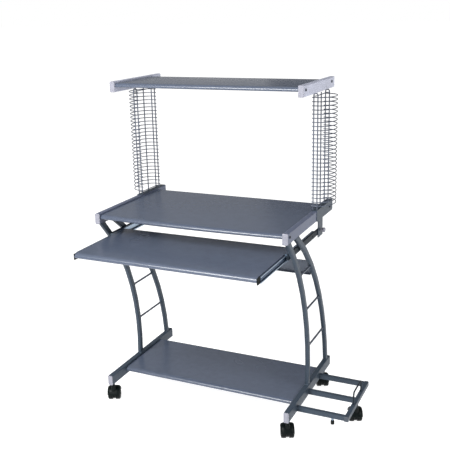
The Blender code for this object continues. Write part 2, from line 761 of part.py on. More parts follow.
desk_top = DESK_BOTTOM + TUBE_H - PANEL_DROP
shelf_top = SHELF_BOTTOM + TUBE_H - PANEL_DROP
low_top = BASE_BOTTOM + TUBE_H - 0.009
panel("desktop", LAMINATE, 0.006, PANEL_BACK, desk_top, PANEL_T, PANEL_HALF, TONGUE, DESK_BOW)
panel("top_shelf", LAMINATE, 0.160, PANEL_BACK, shelf_top, PANEL_T, PANEL_HALF, TONGUE, 0.0)
panel("lower_shelf", LAMINATE, LOWER_FRONT, LOWER_BACK, low_top, PANEL_T, PANEL_HALF + 0.011, 0.0, 0.0)
panel("keyboard_tray", LAMINATE, TRAY_FRONT, TRAY_BACK, TRAY_TOP, TRAY_T, TRAY_HALF, 0.0, 0.0)
cross_member("cross_member", DARK_STEEL)
stand = tower_stand("stand_frame", PAINT, CAP_DARK)
stand_hoop("stand_hoop", DARK_STEEL)
glide("stand_glide", RUBBER)

hood_shape = hood_mesh(CAP_DARK)
wheel_shape = wheel_mesh(CAP_DARK)
for place_name, caster_x, caster_y in CASTERS:
    place("caster_hood_" + place_name, hood_shape, at(caster_x, caster_y, WHEEL_R))
    axle_x = caster_x - TRAIL * math.sin(CASTER_TURN)
    axle_y = caster_y + TRAIL * math.cos(CASTER_TURN)
    place("caster_wheels_" + place_name, wheel_shape, at(axle_x, axle_y, WHEEL_R))
    if place_name == "stand":
        stem_socket(stand, "socket_" + place_name, caster_x, caster_y, STAND_BOTTOM)
    else:
        side_tube = base_tubes[math.copysign(1.0, caster_x)]
        stem_socket(side_tube, "socket_" + place_name, caster_x, caster_y, BASE_BOTTOM)
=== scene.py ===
"""Looks of the mobile computer workstation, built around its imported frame.

Units are metres.  Each fitting is placed from the box of the CAD node it belongs to, so it follows the model.
Painted tubes, caps and bars keep their CAD shape with finer edges.  The boards, the tray's slides, the wire
racks, the casters, the knobs and the foot are modelled anew and replace their CAD nodes.
"""

import json
import math

import bmesh
import bpy
from mathutils import Matrix, Vector


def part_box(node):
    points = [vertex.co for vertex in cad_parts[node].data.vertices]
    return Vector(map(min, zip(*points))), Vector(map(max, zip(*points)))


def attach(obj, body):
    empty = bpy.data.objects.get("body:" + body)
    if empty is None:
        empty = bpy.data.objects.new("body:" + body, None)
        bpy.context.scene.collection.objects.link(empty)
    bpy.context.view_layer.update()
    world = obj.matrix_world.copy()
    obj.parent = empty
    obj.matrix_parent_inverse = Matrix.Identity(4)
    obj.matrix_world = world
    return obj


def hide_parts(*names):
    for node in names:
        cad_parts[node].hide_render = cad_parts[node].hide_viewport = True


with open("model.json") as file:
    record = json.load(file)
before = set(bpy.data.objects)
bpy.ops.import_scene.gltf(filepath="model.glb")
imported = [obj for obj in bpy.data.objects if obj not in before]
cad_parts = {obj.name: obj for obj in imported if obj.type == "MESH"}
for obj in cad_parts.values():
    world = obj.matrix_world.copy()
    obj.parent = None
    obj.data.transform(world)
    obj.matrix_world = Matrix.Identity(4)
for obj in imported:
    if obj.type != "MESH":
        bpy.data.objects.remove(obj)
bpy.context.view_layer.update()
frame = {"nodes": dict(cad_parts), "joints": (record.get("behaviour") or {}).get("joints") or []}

SIDES = (("left", -1.0), ("right", 1.0))
JOINTS = {joint["name"]: joint for joint in frame["joints"]}
CASTERS = ("front_left", "front_right", "rear_left", "rear_right", "stand")

# ---- camera -------------------------------------------------------------------------------------
CAMERA_AT = (1.1146, -2.3878, 1.5187)
CAMERA_YAW = 0.4388           # turn to the left of +Y
CAMERA_PITCH = -0.278         # negative, so it looks down
CAMERA_ROLL = -0.0251
CAMERA_LENS = 59.76           # millimetres on a 36 mm sensor
CAMERA_SHIFT = (0.0010, -0.0100)

# ---- light --------------------------------------------------------------------------------------
# The sky's grey against the sine of a height above the horizon: pale low down, dark above that, pale overhead.
SKY = ((0.0, 1.0), (0.075, 1.0), (0.090, 0.05), (0.30, 0.08), (0.80, 0.62))
SKY_STRENGTH = 1.0
LAMPS = (                     # name, place, size, watts
    ("key", (-0.9, -2.3, 2.60), 1.3, 118.0),
    ("front", (0.2, -3.2, 1.30), 1.4, 30.0),
    ("fill", (3.0, -0.8, 1.8), 1.4, 42.0),
    ("back", (-1.6, 2.6, 1.7), 1.4, 1.6),
)
LAMP_AIM = (0.0, 0.0, 0.6)
FLOOR_GLOW = 0.90
FLOOR_HALF = 60.0

# ---- fittings -----------------------------------------------------------------------------------
WIRE_R = 0.0022
LOOP_R = 0.0017
TUBE_WALL = 0.0015
SCREW_R = 0.0052
WELD_R = 0.0018
NOSE_DEPTH = 0.016            # how far back a board's front edge is rounded on top
NOSE_UNDER = 0.0050           # radius of the same edge underneath
NOSE_STEPS = 8                # steps in each of the two arcs of that edge
RACK_PAIR = 0.0075            # half spacing of the two wires of a rack's ladder
RACK_STOP = 0.062             # stop wire behind the front ladder
RUNG_FIRST = 0.0148           # lowest loop above the foot of the ladders
RUNG_PITCH = 0.0147
RUNG_COUNT = 28
STUB_REACH = 0.0138           # inboard reach of a loop's free ends
LOOP_INSET = 0.004            # where a loop's curve starts, outboard of the ladders
CAGE_PITCH = 0.014            # spacing of the balls along a slide
BALL_RISE = 0.0040            # the two rows of balls above and below its middle
HOOD_RIM = math.radians(8.0)  # angle of a caster hood's lower edges above the axle
HOOD_WALL = 0.0020
HOOD_SHOULDER = 0.0055        # how far the hood's outline draws in at its sides
WEB_HALF = 0.0043             # half thickness of the web between the wheels
WEB_LOW_R = 0.0215            # radius of the web below the axle
WHEEL_GAP = 0.0055            # half the space between the two wheels
FLUTES = 12                   # round a knob


# =================================================================================================
# Materials
# =================================================================================================
class Shader:
    """A new material with small helpers for building its nodes."""

    def __init__(self, name, roughness, metallic=0.0, specular=0.5):
        self.material = bpy.data.materials.new(name)
        self.material.use_nodes = True
        self.tree = self.material.node_tree
        self.principled = self.tree.nodes["Principled BSDF"]
        self.principled.inputs["Roughness"].default_value = roughness
        self.principled.inputs["Metallic"].default_value = metallic
        self.principled.inputs["Specular IOR Level"].default_value = specular
        self.place = self.tree.nodes.new("ShaderNodeTexCoord").outputs["Object"]

    def link(self, source, target):
        self.tree.links.new(source, target)

    def stretched(self, scale):
        """Object position scaled differently along each axis."""
        node = self.tree.nodes.new("ShaderNodeMapping")
        node.inputs["Scale"].default_value = scale
        self.link(self.place, node.inputs["Vector"])
        return node.outputs["Vector"]

    def noise(self, scale, detail=3.0, rough=0.55, place=None):
        node = self.tree.nodes.new("ShaderNodeTexNoise")
        node.inputs["Scale"].default_value = scale
        node.inputs["Detail"].default_value = detail
        node.inputs["Roughness"].default_value = rough
        self.link(place or self.place, node.inputs["Vector"])
        return node.outputs["Fac"]

    def cells(self, scale):
        node = self.tree.nodes.new("ShaderNodeTexVoronoi")
        node.inputs["Scale"].default_value = scale
        self.link(self.place, node.inputs["Vector"])
        return node.outputs["Distance"]

    def ramp(self, value, stops):
        """Colour ramp from (position, colour) stops; a colour is a grey value or three channels."""
        node = self.tree.nodes.new("ShaderNodeValToRGB")
        elements = node.color_ramp.elements
        while len(elements) < len(stops):
            elements.new(0.5)
        for element, (position, colour) in zip(elements, stops):
            element.position = position
            grey = isinstance(colour, float)
            element.color = (colour, colour, colour, 1.0) if grey else (*colour, 1.0)
        self.link(value, node.inputs["Fac"])
        return node.outputs["Color"]

    def mix(self, factor, first, second, mode="MIX"):
        """Blend of two colour outputs or constant colours by a factor output or number."""
        node = self.tree.nodes.new("ShaderNodeMix")
        node.data_type = "RGBA"
        node.blend_type = mode
        for slot, value in (("Factor_Float", factor), ("A_Color", first), ("B_Color", second)):
            socket = next(s for s in node.inputs if s.identifier == slot)
            if isinstance(value, bpy.types.NodeSocket):
                self.link(value, socket)
            elif slot == "Factor_Float":
                socket.default_value = value
            else:
                socket.default_value = (*value, 1.0)
        return next(s for s in node.outputs if s.identifier == "Result_Color")

    def colour(self, output):
        self.link(output, self.principled.inputs["Base Color"])

    def roughness(self, value, low, high):
        """Roughness that varies between two limits with a texture."""
        node = self.tree.nodes.new("ShaderNodeMapRange")
        node.inputs["To Min"].default_value = low
        node.inputs["To Max"].default_value = high
        self.link(value, node.inputs["Value"])
        self.link(node.outputs["Result"], self.principled.inputs["Roughness"])

    def bump(self, *layers):
        """Stack (height output, strength, distance) layers of relief."""
        before = None
        for height, strength, distance in layers:
            node = self.tree.nodes.new("ShaderNodeBump")
            node.inputs["Strength"].default_value = strength
            node.inputs["Distance"].default_value = distance
            self.link(height, node.inputs["Height"])
            if before is not None:
                self.link(before, node.inputs["Normal"])
            before = node.outputs["Normal"]
        self.link(before, self.principled.inputs["Normal"])


def shade(colour, factor):
    """A colour made darker or lighter."""
    return tuple(min(1.0, channel * factor) for channel in colour)


def speckled_paint(name, colour, contrast, metallic, roughness, specular):
    """Baked paint with fine light and dark speckle, orange-peel relief and slight wear of tone."""
    made = Shader(name, roughness, metallic, specular)
    fine = made.noise(900.0, 2.0, 0.6)
    broad = made.noise(14.0, 4.0)
    flecks = made.ramp(fine, ((0.30, shade(colour, 1.0 - contrast)), (0.52, colour),
                              (0.74, shade(colour, 1.0 + 1.4 * contrast))))
    tone = made.ramp(broad, ((0.30, 0.90), (0.70, 1.06)))
    made.colour(made.mix(1.0, flecks, tone, "MULTIPLY"))
    made.roughness(broad, roughness - 0.06, roughness + 0.07)
    made.bump((made.noise(260.0, 2.0), 0.10, 0.0006), (fine, 0.12, 0.0003))
    return made.material


def laminate(name, colour, roughness):
    """Satin decor laminate: faint mottling, a fine pressed grain and soft changes of gloss."""
    made = Shader(name, roughness, specular=0.5)
    mottle = made.noise(38.0, 6.0, 0.62)
    grain = made.cells(1400.0)
    body = made.ramp(mottle, ((0.28, shade(colour, 0.92)), (0.50, colour), (0.75, shade(colour, 1.09))))
    pores = made.ramp(grain, ((0.10, 0.93), (0.55, 1.03)))
    made.colour(made.mix(1.0, body, pores, "MULTIPLY"))
    made.roughness(made.noise(5.0, 2.0), roughness - 0.03, roughness + 0.05)
    made.bump((grain, 0.05, 0.0001))
    return made.material


def plated(name, colour, roughness):
    """Bright zinc with drawn lines along its length and slight clouding."""
    made = Shader(name, roughness, 1.0)
    lines = made.noise(1.0, 3.0, 0.6, made.stretched((1500.0, 14.0, 1500.0)))
    cloud = made.noise(60.0, 3.0)
    body = made.ramp(cloud, ((0.30, shade(colour, 0.86)), (0.70, shade(colour, 1.06))))
    made.colour(made.mix(0.35, body, made.ramp(lines, ((0.3, shade(colour, 0.7)), (0.7, colour)))))
    made.roughness(lines, roughness - 0.06, roughness + 0.14)
    made.bump((lines, 0.15, 0.0002))
    return made.material


def moulded(name, colour, roughness, specular=0.4):
    """Injection-moulded plastic with a fine spark texture and faint flow clouds."""
    made = Shader(name, roughness, specular=specular)
    cloud = made.noise(45.0, 4.0)
    made.colour(made.ramp(cloud, ((0.30, shade(colour, 0.93)), (0.70, shade(colour, 1.05)))))
    made.roughness(made.noise(500.0, 2.0), roughness - 0.04, roughness + 0.08)
    made.bump((made.noise(1600.0, 2.0), 0.08, 0.0002))
    return made.material


def rubber(name, colour):
    """Dull rubber with fine pits and a dusty bloom."""
    made = Shader(name, 0.75, specular=0.12)
    bloom = made.noise(70.0, 5.0)
    made.colour(made.ramp(bloom, ((0.35, colour), (0.80, shade(colour, 2.2)))))
    made.roughness(bloom, 0.66, 0.86)
    made.bump((made.noise(1100.0, 2.0), 0.2, 0.0003))
    return made.material


LEG_PAINT = speckled_paint("leg_paint", (0.038, 0.054, 0.076), 0.34, 0.10, 0.45, 0.28)
# Desk rails: the legs' blue-grey paint made lighter, a painted highlight for the brighter light on the rails'
# faces.
RAIL_LIT_PAINT = speckled_paint("desk_rail_lit_paint", (0.096, 0.112, 0.168), 0.22, 0.10, 0.42, 0.30)
SILVER_PAINT = speckled_paint("silver_paint", (0.420, 0.438, 0.535), 0.08, 0.15, 0.40, 0.35)
DARK_PAINT = speckled_paint("dark_paint", (0.012, 0.018, 0.025), 0.15, 0.0, 0.50, 0.12)
CROSS_PAINT = speckled_paint("cross_paint", (0.110, 0.126, 0.158), 0.18, 0.10, 0.42, 0.20)
WIRE_PAINT = speckled_paint("wire_paint", (0.075, 0.088, 0.118), 0.10, 0.30, 0.38, 0.35)
BOARD = laminate("board_laminate", (0.066, 0.082, 0.120), 0.25)
ZINC = plated("slide_zinc", (0.34, 0.42, 0.52), 0.30)
# Ball cage: a real part, coloured dark blue so that it also paints the shade in the slide's recess.
CAGE_SHADE_BLUE = plated("cage_blue_shade", (0.045, 0.075, 0.130), 0.35)
BOLT = plated("dark_bolt", (0.030, 0.034, 0.042), 0.38)
CAP_GREY = moulded("cap_grey", (0.245, 0.248, 0.292), 0.45)
CAP_SLATE = moulded("cap_slate", (0.050, 0.062, 0.080), 0.45)
CASTER_BLACK = moulded("caster_black", (0.0018, 0.0040, 0.0040), 0.36, 0.12)
FOOT_RUBBER = rubber("foot_rubber", (0.006, 0.007, 0.007))


# =================================================================================================
# Mesh tools
# =================================================================================================
def piece(name, bm, material, body, smooth_angle=32.0):
    """Finish a bmesh as a named piece that rides on a body."""
    bmesh.ops.remove_doubles(bm, verts=bm.verts, dist=1e-7)
    bmesh.ops.recalc_face_normals(bm, faces=bm.faces)
    for face in bm.faces:
        face.smooth = True
    for edge in bm.edges:
        edge.smooth = len(edge.link_faces) == 2 and edge.calc_face_angle(0.0) < math.radians(smooth_angle)
    mesh = bpy.data.meshes.new(name)
    bm.to_mesh(mesh)
    bm.free()
    mesh.materials.append(material)
    made = bpy.data.objects.new(name, mesh)
    bpy.context.scene.collection.objects.link(made)
    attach(made, body)
    return made


def loft(bm, rings, closed=False):
    """Skin over equal rings of points, with flat ends unless it closes on itself."""
    rows = [[bm.verts.new(point) for point in ring] for ring in rings]
    count = len(rows[0])
    pairs = list(zip(rows, rows[1:]))
    if closed:
        pairs.append((rows[-1], rows[0]))
    for near, far in pairs:
        for i in range(count):
            j = (i + 1) % count
            bm.faces.new((near[i], near[j], far[j], far[i]))
    if not closed:
        bm.faces.new(rows[0])
        bm.faces.new(rows[-1])


def basis(direction):
    """Two directions square to a third, for drawing rings round it."""
    along = Vector(direction).normalized()
    helper = Vector((0.0, 0.0, 1.0)) if abs(along.z) < 0.9 else Vector((0.0, 1.0, 0.0))
    across = along.cross(helper).normalized()
    return across, across.cross(along).normalized()


def turned(bm, centre, direction, profile, sides=32):
    """Solid of revolution from (along, radius) pairs about a direction through a centre."""
    along = Vector(direction).normalized()
    u, v = basis(along)
    rings = []
    for reach, radius in profile:
        ring = []
        for k in range(sides):
            angle = math.tau * k / sides
            ring.append(Vector(centre) + along * reach + (u * math.cos(angle) + v * math.sin(angle)) * radius)
        rings.append(ring)
    loft(bm, rings)


def wire(bm, path, radius, sides=10):
    """Round wire along a path of points, with a steady twist-free section."""
    tangents = []
    for i in range(len(path)):
        tangents.append((path[min(i + 1, len(path) - 1)] - path[max(i - 1, 0)]).normalized())
    u, _ = basis(tangents[0])
    rings = []
    for i, point in enumerate(path):
        u = (u - tangents[i] * u.dot(tangents[i])).normalized()
        v = tangents[i].cross(u)
        ring = []
        for k in range(sides):
            angle = math.tau * k / sides
            ring.append(point + (u * math.cos(angle) + v * math.sin(angle)) * radius)
        rings.append(ring)
    loft(bm, rings)


def rounded_ring(width, height, corner, steps=5):
    """Rounded rectangle about the origin, as (across, up) pairs."""
    points = []
    for sx, sy, start in ((1, 1, 0.0), (-1, 1, 90.0), (-1, -1, 180.0), (1, -1, 270.0)):
        for k in range(steps + 1):
            angle = math.radians(start + 90.0 * k / steps)
            points.append((
                sx * (width / 2 - corner) + corner * math.cos(angle),
                sy * (height / 2 - corner) + corner * math.sin(angle),
            ))
    return points


def joint_place(name):
    """Where a joint sits."""
    return Vector(JOINTS[name]["pos_m"])


def soften(made, width, angle=40.0):
    """Small rounding along a piece's sharp edges."""
    modifier = made.modifiers.new("soft_edges", "BEVEL")
    modifier.width = width
    modifier.segments = 3
    modifier.limit_method = "ANGLE"
    modifier.angle_limit = math.radians(angle)


def finish_node(name, material, soft):
    """Give a CAD node its material and, where it has sharp edges, a small rounding."""
    node = frame["nodes"][name]
    node.data.materials.clear()
    node.data.materials.append(material)
    if soft:
        soften(node, soft)


# =================================================================================================
# Frame and tray gear that keep their CAD shape
# =================================================================================================
for label, _ in SIDES:
    for part in ("base_tube_", "leg_front_", "leg_rear_", "hanger_", "rack_saddle_"):
        finish_node(part + label, LEG_PAINT, 0.0004)
    # The desk rails take the lightened copy of the leg paint, a painted highlight.
    finish_node("desk_rail_" + label, RAIL_LIT_PAINT, 0.0004)
    finish_node("shelf_rail_" + label, SILVER_PAINT, 0.0004)
    for part in ("base_cap_", "desk_cap_", "shelf_cap_"):
        finish_node(part + label, CAP_GREY, 0.0005)
    finish_node("tray_bar_" + label, DARK_PAINT, 0.0006)
    finish_node("slide_channel_" + label, ZINC, 0.0003)
    finish_node("slide_bumper_" + label, FOOT_RUBBER, 0.0012)
    for number in (1, 2, 3):
        finish_node("brace_rod_%s_%d" % (label, number), WIRE_PAINT, 0.0)
finish_node("cross_member", CROSS_PAINT, 0.0003)
finish_node("stand_frame", LEG_PAINT, 0.0005)
finish_node("stand_hoop", DARK_PAINT, 0.0)
for end in ("front", "rear"):
    finish_node("stand_cap_" + end, CAP_SLATE, 0.0005)


# =================================================================================================
# Boards with a broad rounded nose, and the tray's slides
# =================================================================================================
def board(node, body):
    """Panel out to its rails, its front edge following the CAD line, high and broad above, tight below."""
    low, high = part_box(node)
    middle = (low.x + high.x) / 2
    half = (high.x - low.x) / 2
    upper = [v.co for v in frame["nodes"][node].data.vertices if v.co.z > high.z - 0.0001]
    flat = max(point.x for point in upper) - middle
    side_front = min(point.y for point in upper if abs(abs(point.x - middle) - flat) < 0.0001)
    side_front -= min(point.y for point in upper) - low.y
    bow = side_front - low.y
    thick = high.z - low.z
    rings = []
    for k in range(49):
        across = -half + 2 * half * k / 48
        front = low.y + bow * min(1.0, (across / flat) ** 2)
        ring = [Vector((middle + across, high.y, low.z))]
        for centre_y, centre_z, deep, tall, start in (
            (front + NOSE_UNDER, low.z + NOSE_UNDER, NOSE_UNDER, NOSE_UNDER, 270.0),
            (front + NOSE_DEPTH, low.z + NOSE_UNDER, NOSE_DEPTH, thick - NOSE_UNDER, 180.0),
        ):
            for n in range(NOSE_STEPS + 1):
                angle = math.radians(start - 90.0 * n / NOSE_STEPS)
                ring.append(Vector((
                    middle + across, centre_y + deep * math.cos(angle), centre_z + tall * math.sin(angle),
                )))
        ring.append(Vector((middle + across, high.y, high.z)))
        rings.append(ring)
    bm = bmesh.new()
    loft(bm, rings)
    made = piece(node + "_board", bm, BOARD, body, 25.0)
    soften(made, 0.0008, 50.0)
    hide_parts(node)


for node in ("desktop", "top_shelf", "lower_shelf"):
    board(node, "frame")
board("keyboard_tray", "tray")


def slide_member(label, side):
    """Tray half of a slide: a folded section open to the outside, with a ball cage lying in it, its dark blue
    painting the shade in the recess.
    """
    low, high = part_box("slide_runner_" + label)
    inner = low.x if side > 0 else high.x
    middle = (low.z + high.z) / 2
    tall = (high.z - low.z) / 2
    deep = high.x - low.x
    upper = [
        (0.0, 0.0090), (0.0036, 0.0090), (0.0036, tall), (deep, tall), (deep, tall - 0.0036),
        (deep - 0.0010, tall - 0.0036), (deep - 0.0010, tall - 0.0012), (0.0048, tall - 0.0012),
        (0.0048, 0.0076), (0.0012, 0.0076),
    ]
    section = upper + [(u, -v) for u, v in upper[::-1]]
    bm = bmesh.new()
    loft(bm, [[Vector((inner + side * u, y, middle + v)) for u, v in section] for y in (low.y, high.y)])
    made = piece("slide_member_" + label, bm, ZINC, "tray", 25.0)
    soften(made, 0.0003)
    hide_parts("slide_runner_" + label)

    # The cage's dark colour paints the shade in the recess of the slide.
    cage = bmesh.new()
    strip = ((0.0016, -0.0066), (0.0016, 0.0066), (0.0030, 0.0066), (0.0036, 0.0058), (0.0036, -0.0058),
             (0.0030, -0.0066))
    ends = (low.y + 0.004, high.y - 0.004)
    loft(cage, [[Vector((inner + side * u, y, middle + v)) for u, v in strip] for y in ends])
    y = low.y + 0.016
    while y < high.y - 0.012:
        for z in (-BALL_RISE, BALL_RISE):
            turned(cage, (inner + side * 0.0034, y, middle + z), (side, 0, 0), (
                (0.0, 0.0017), (0.0006, 0.0015), (0.0011, 0.0009), (0.0013, 0.0002),
            ), 12)
        y += CAGE_PITCH
    piece("slide_cage_" + label, cage, CAGE_SHADE_BLUE, "tray", 40.0)


for label, side in SIDES:
    slide_member(label, side)


# =================================================================================================
# Media racks in round wire
# =================================================================================================
def rack(label, side):
    """Ladders, stop wire, loops and ties of one rack, on the lines of its CAD solid."""
    low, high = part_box("media_rack_" + label)
    rail_low, rail_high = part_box("shelf_rail_" + label)
    centre_x = (rail_low.x + rail_high.x) / 2
    front, rear = low.y + WIRE_R, high.y - WIRE_R
    bm = bmesh.new()
    for y in (front, rear):
        path = [Vector((centre_x - RACK_PAIR, y, low.z))]
        for k in range(17):
            angle = math.pi * (1.0 - k / 16)
            path.append(Vector((
                centre_x + RACK_PAIR * math.cos(angle), y,
                high.z - WIRE_R - RACK_PAIR + RACK_PAIR * math.sin(angle),
            )))
        path.append(Vector((centre_x + RACK_PAIR, y, low.z)))
        wire(bm, path, WIRE_R, 12)
    stop = front + RACK_STOP
    wire(bm, [Vector((centre_x, stop, low.z)), Vector((centre_x, stop, high.z - 0.004))], WIRE_R, 12)
    uprights = piece("rack_uprights_" + label, bm, WIRE_PAINT, "frame")

    loops = bmesh.new()
    outer = (high.x - centre_x if side > 0 else centre_x - low.x) - LOOP_R
    half = (rear - front) / 2
    for level in range(RUNG_COUNT):
        z = low.z + RUNG_FIRST + RUNG_PITCH * level
        path = [Vector((centre_x - side * STUB_REACH, front, z)), Vector((centre_x, front, z))]
        for k in range(25):
            angle = math.radians(-90.0 + 180.0 * k / 24)
            path.append(Vector((
                centre_x + side * (LOOP_INSET + (outer - LOOP_INSET) * math.cos(angle)),
                (front + rear) / 2 + half * math.sin(angle),
                z,
            )))
        path += [Vector((centre_x, rear, z)), Vector((centre_x - side * STUB_REACH, rear, z))]
        wire(loops, path, LOOP_R, 8)
    for z in (low.z + 0.008, high.z - 0.0125):
        wire(loops, [
            Vector((centre_x - RACK_PAIR, front, z)), Vector((centre_x, front + 0.012, z)),
            Vector((centre_x, rear - 0.012, z)), Vector((centre_x + RACK_PAIR, rear, z)),
        ], LOOP_R, 8)
    piece("rack_loops_" + label, loops, WIRE_PAINT, "frame")
    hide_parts("media_rack_" + label)


for label, side in SIDES:
    rack(label, side)


# =================================================================================================
# Casters
# =================================================================================================
def reach(node, origin, direction):
    """Furthest that a CAD node goes from a point along a direction."""
    return max((vertex.co - origin).dot(direction) for vertex in frame["nodes"][node].data.vertices)


def caster(name):
    """Hood, web, stem and wheels of one caster, drawn about its swivel and turned as it stands."""
    swivel = joint_place("swivel_" + name)
    axle = joint_place("roll_" + name)
    across = Vector(JOINTS["roll_" + name]["axis"])
    trail = (axle - swivel).length
    radius = reach("caster_wheels_" + name, axle, Vector((0.0, 0.0, 1.0)))
    half = reach("caster_wheels_" + name, axle, across)
    hood_r = reach("caster_hood_" + name, axle, (axle - swivel).normalized()) / math.cos(HOOD_RIM) - 0.0004
    hood_half = reach("caster_hood_" + name, axle, across) - 0.0001
    top = reach("caster_hood_" + name, swivel, Vector((0.0, 0.0, 1.0)))
    turn = Matrix.Rotation(math.atan2(across.y, across.x), 4, "Z")
    stand = Matrix.Translation(swivel) @ turn

    hood = bmesh.new()
    sections = []
    for k in range(21):
        x = -1.0 + k / 10
        shoulder = HOOD_SHOULDER * abs(x) ** 5
        outline = []
        for r, order in ((hood_r - shoulder, 1), (hood_r - shoulder - HOOD_WALL, -1)):
            for n in range(41)[::order]:
                angle = HOOD_RIM + (math.pi - 2 * HOOD_RIM) * n / 40
                outline.append(Vector((x * hood_half, trail + r * math.cos(angle), r * math.sin(angle))))
        sections.append(outline)
    loft(hood, sections)
    hood.transform(stand)
    shell = piece("caster_shell_" + name, hood, CASTER_BLACK, "caster_" + name, 50.0)
    soften(shell, 0.0006, 50.0)

    core = bmesh.new()
    plate = []
    for k in range(25):
        angle = math.pi * k / 24
        plate.append((trail + (hood_r - 0.0015) * math.cos(angle), (hood_r - 0.0015) * math.sin(angle)))
    for k in range(1, 16):
        angle = math.pi * (1.0 + k / 16)
        plate.append((trail + WEB_LOW_R * math.cos(angle), WEB_LOW_R * math.sin(angle)))
    loft(core, [[Vector((x, y, z)) for y, z in plate] for x in (-WEB_HALF, WEB_HALF)])
    core.transform(stand)
    piece("caster_web_" + name, core, CASTER_BLACK, "caster_" + name)

    stem = bmesh.new()
    seat = top - 0.0160
    turned(stem, (0.0, 0.0, 0.0), (0, 0, 1), (
        (0.0230, 0.0086), (0.0340, 0.0088), (0.0365, 0.0072), (seat, 0.0070), (seat, 0.0050),
        (top - 0.001, 0.0050), (top, 0.0040),
    ), 24)
    stem.transform(stand)
    post = piece("caster_stem_" + name, stem, CASTER_BLACK, "caster_" + name)
    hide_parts("caster_hood_" + name)

    wheels = bmesh.new()
    gap = WHEEL_GAP
    for side in (-1.0, 1.0):
        tread = [
            (gap, 0.0045), (gap, radius - 0.0022), (gap + 0.0007, radius - 0.0008), (gap + 0.0022, radius),
            (gap + 0.0072, radius), (gap + 0.0076, radius - 0.0006), (gap + 0.0082, radius - 0.0006),
            (gap + 0.0086, radius), (half - 0.0052, radius - 0.0001), (half - 0.0030, radius - 0.0008),
            (half - 0.0013, radius - 0.0022), (half - 0.0003, radius - 0.0044),
        ]
        face = [
            (half, 0.0190), (half - 0.0014, 0.0176), (half - 0.0020, 0.0110), (half - 0.0010, 0.0100),
            (half - 0.0006, 0.0060), (half - 0.0014, 0.0052), (half - 0.0014, 0.0012),
        ]
        turned(wheels, (0.0, trail, 0.0), (side, 0, 0), tread + face, 48)
    turned(wheels, (0.0, trail, 0.0), (1, 0, 0), ((-gap - 0.001, 0.0038), (gap + 0.001, 0.0038)), 20)
    wheels.transform(stand)
    roller = piece("caster_rollers_" + name, wheels, CASTER_BLACK, "wheels_" + name, 40.0)
    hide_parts("caster_wheels_" + name)


for place_name in CASTERS:
    caster(place_name)


# =================================================================================================
# Knobs, foot, screws, caps and welds
# =================================================================================================
def knob(label, side):
    """Fluted clamping knob with a domed face and a plain round neck."""
    low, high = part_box("hanger_knob_" + label)
    start = low.x if side > 0 else high.x
    centre = Vector((start, (low.y + high.y) / 2, (low.z + high.z) / 2))
    length = high.x - low.x
    radius = (high.z - low.z) / 2
    bm = bmesh.new()
    sides = 72
    rings = []
    profile = (
        (length * 0.46, 0.70, 0.0), (length * 0.48, 0.86, 0.3), (length * 0.55, 0.97, 1.0),
        (length * 0.62, 1.00, 1.0), (length * 0.84, 1.00, 1.0), (length * 0.93, 0.95, 0.8),
        (length * 0.98, 0.84, 0.2), (length * 1.00, 0.60, 0.0), (length * 0.985, 0.30, 0.0),
    )
    for out, share, flute in profile:
        ring = []
        for k in range(sides):
            angle = math.tau * k / sides
            r = radius * share * (1.0 - 0.05 * flute * (0.5 + 0.5 * math.cos(angle * FLUTES)))
            ring.append(centre + Vector((side * out, r * math.cos(angle), r * math.sin(angle))))
        rings.append(ring)
    loft(bm, rings)
    turned(bm, centre, (side, 0, 0), ((0.0, 0.0050), (length * 0.47, 0.0050)), 24)
    made = piece("hanger_knob_fluted_" + label, bm, CAP_GREY, "frame", 50.0)
    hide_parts("hanger_knob_" + label)


def foot():
    """Levelling foot: hexagonal nut, threaded stud and a turned rubber pad."""
    low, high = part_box("stand_glide")
    centre = Vector(((low.x + high.x) / 2, (low.y + high.y) / 2, 0.0))
    bm = bmesh.new()
    turned(bm, centre, (0, 0, 1), (
        (low.z, 0.0052), (low.z + 0.0012, 0.0068), (low.z + 0.012, 0.0070), (low.z + 0.0150, 0.0062),
        (low.z + 0.0160, 0.0045),
    ), 32)
    pad = piece("stand_foot_pad", bm, FOOT_RUBBER, "frame")
    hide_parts("stand_glide")
    stud = bmesh.new()
    profile = [(low.z + 0.016, 0.0032)]
    z = low.z + 0.0165
    while z < high.z - 0.0012:
        profile += [(z, 0.0038), (z + 0.0004, 0.0032)]
        z += 0.0010
    profile.append((high.z, 0.0032))
    turned(stud, centre, (0, 0, 1), profile, 20)
    turned(stud, centre, (0, 0, 1), ((high.z - 0.0045, 0.0062), (high.z - 0.0010, 0.0062)), 6)
    piece("stand_foot_stud", stud, ZINC, "frame", 25.0)


def screw(bm, at, direction, radius=SCREW_R):
    """Pan-head screw with a round dished recess, seated on a surface."""
    along = Vector(direction).normalized()
    turned(bm, at, along, (
        (0.0, radius), (radius * 0.20, radius), (radius * 0.42, radius * 0.86), (radius * 0.55, radius * 0.58),
        (radius * 0.58, radius * 0.32), (radius * 0.30, radius * 0.24), (radius * 0.28, radius * 0.05),
    ), 24)


def end_plug(bm, node):
    """Rounded plug pressed into the open rear end of a rectangular tube, flush with it."""
    low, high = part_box(node)
    centre_x, centre_z = (low.x + high.x) / 2, (low.z + high.z) / 2
    width = high.x - low.x - 2 * TUBE_WALL - 0.0006
    height = high.z - low.z - 2 * TUBE_WALL - 0.0006
    body = rounded_ring(width, height, 0.0014)
    crown = rounded_ring(width - 0.0024, height - 0.0024, 0.0014)
    stations = ((body, -0.0100), (body, -0.0016), (crown, -0.0004))
    loft(bm, [[Vector((centre_x + x, high.y + y, centre_z + z)) for x, z in ring] for ring, y in stations])


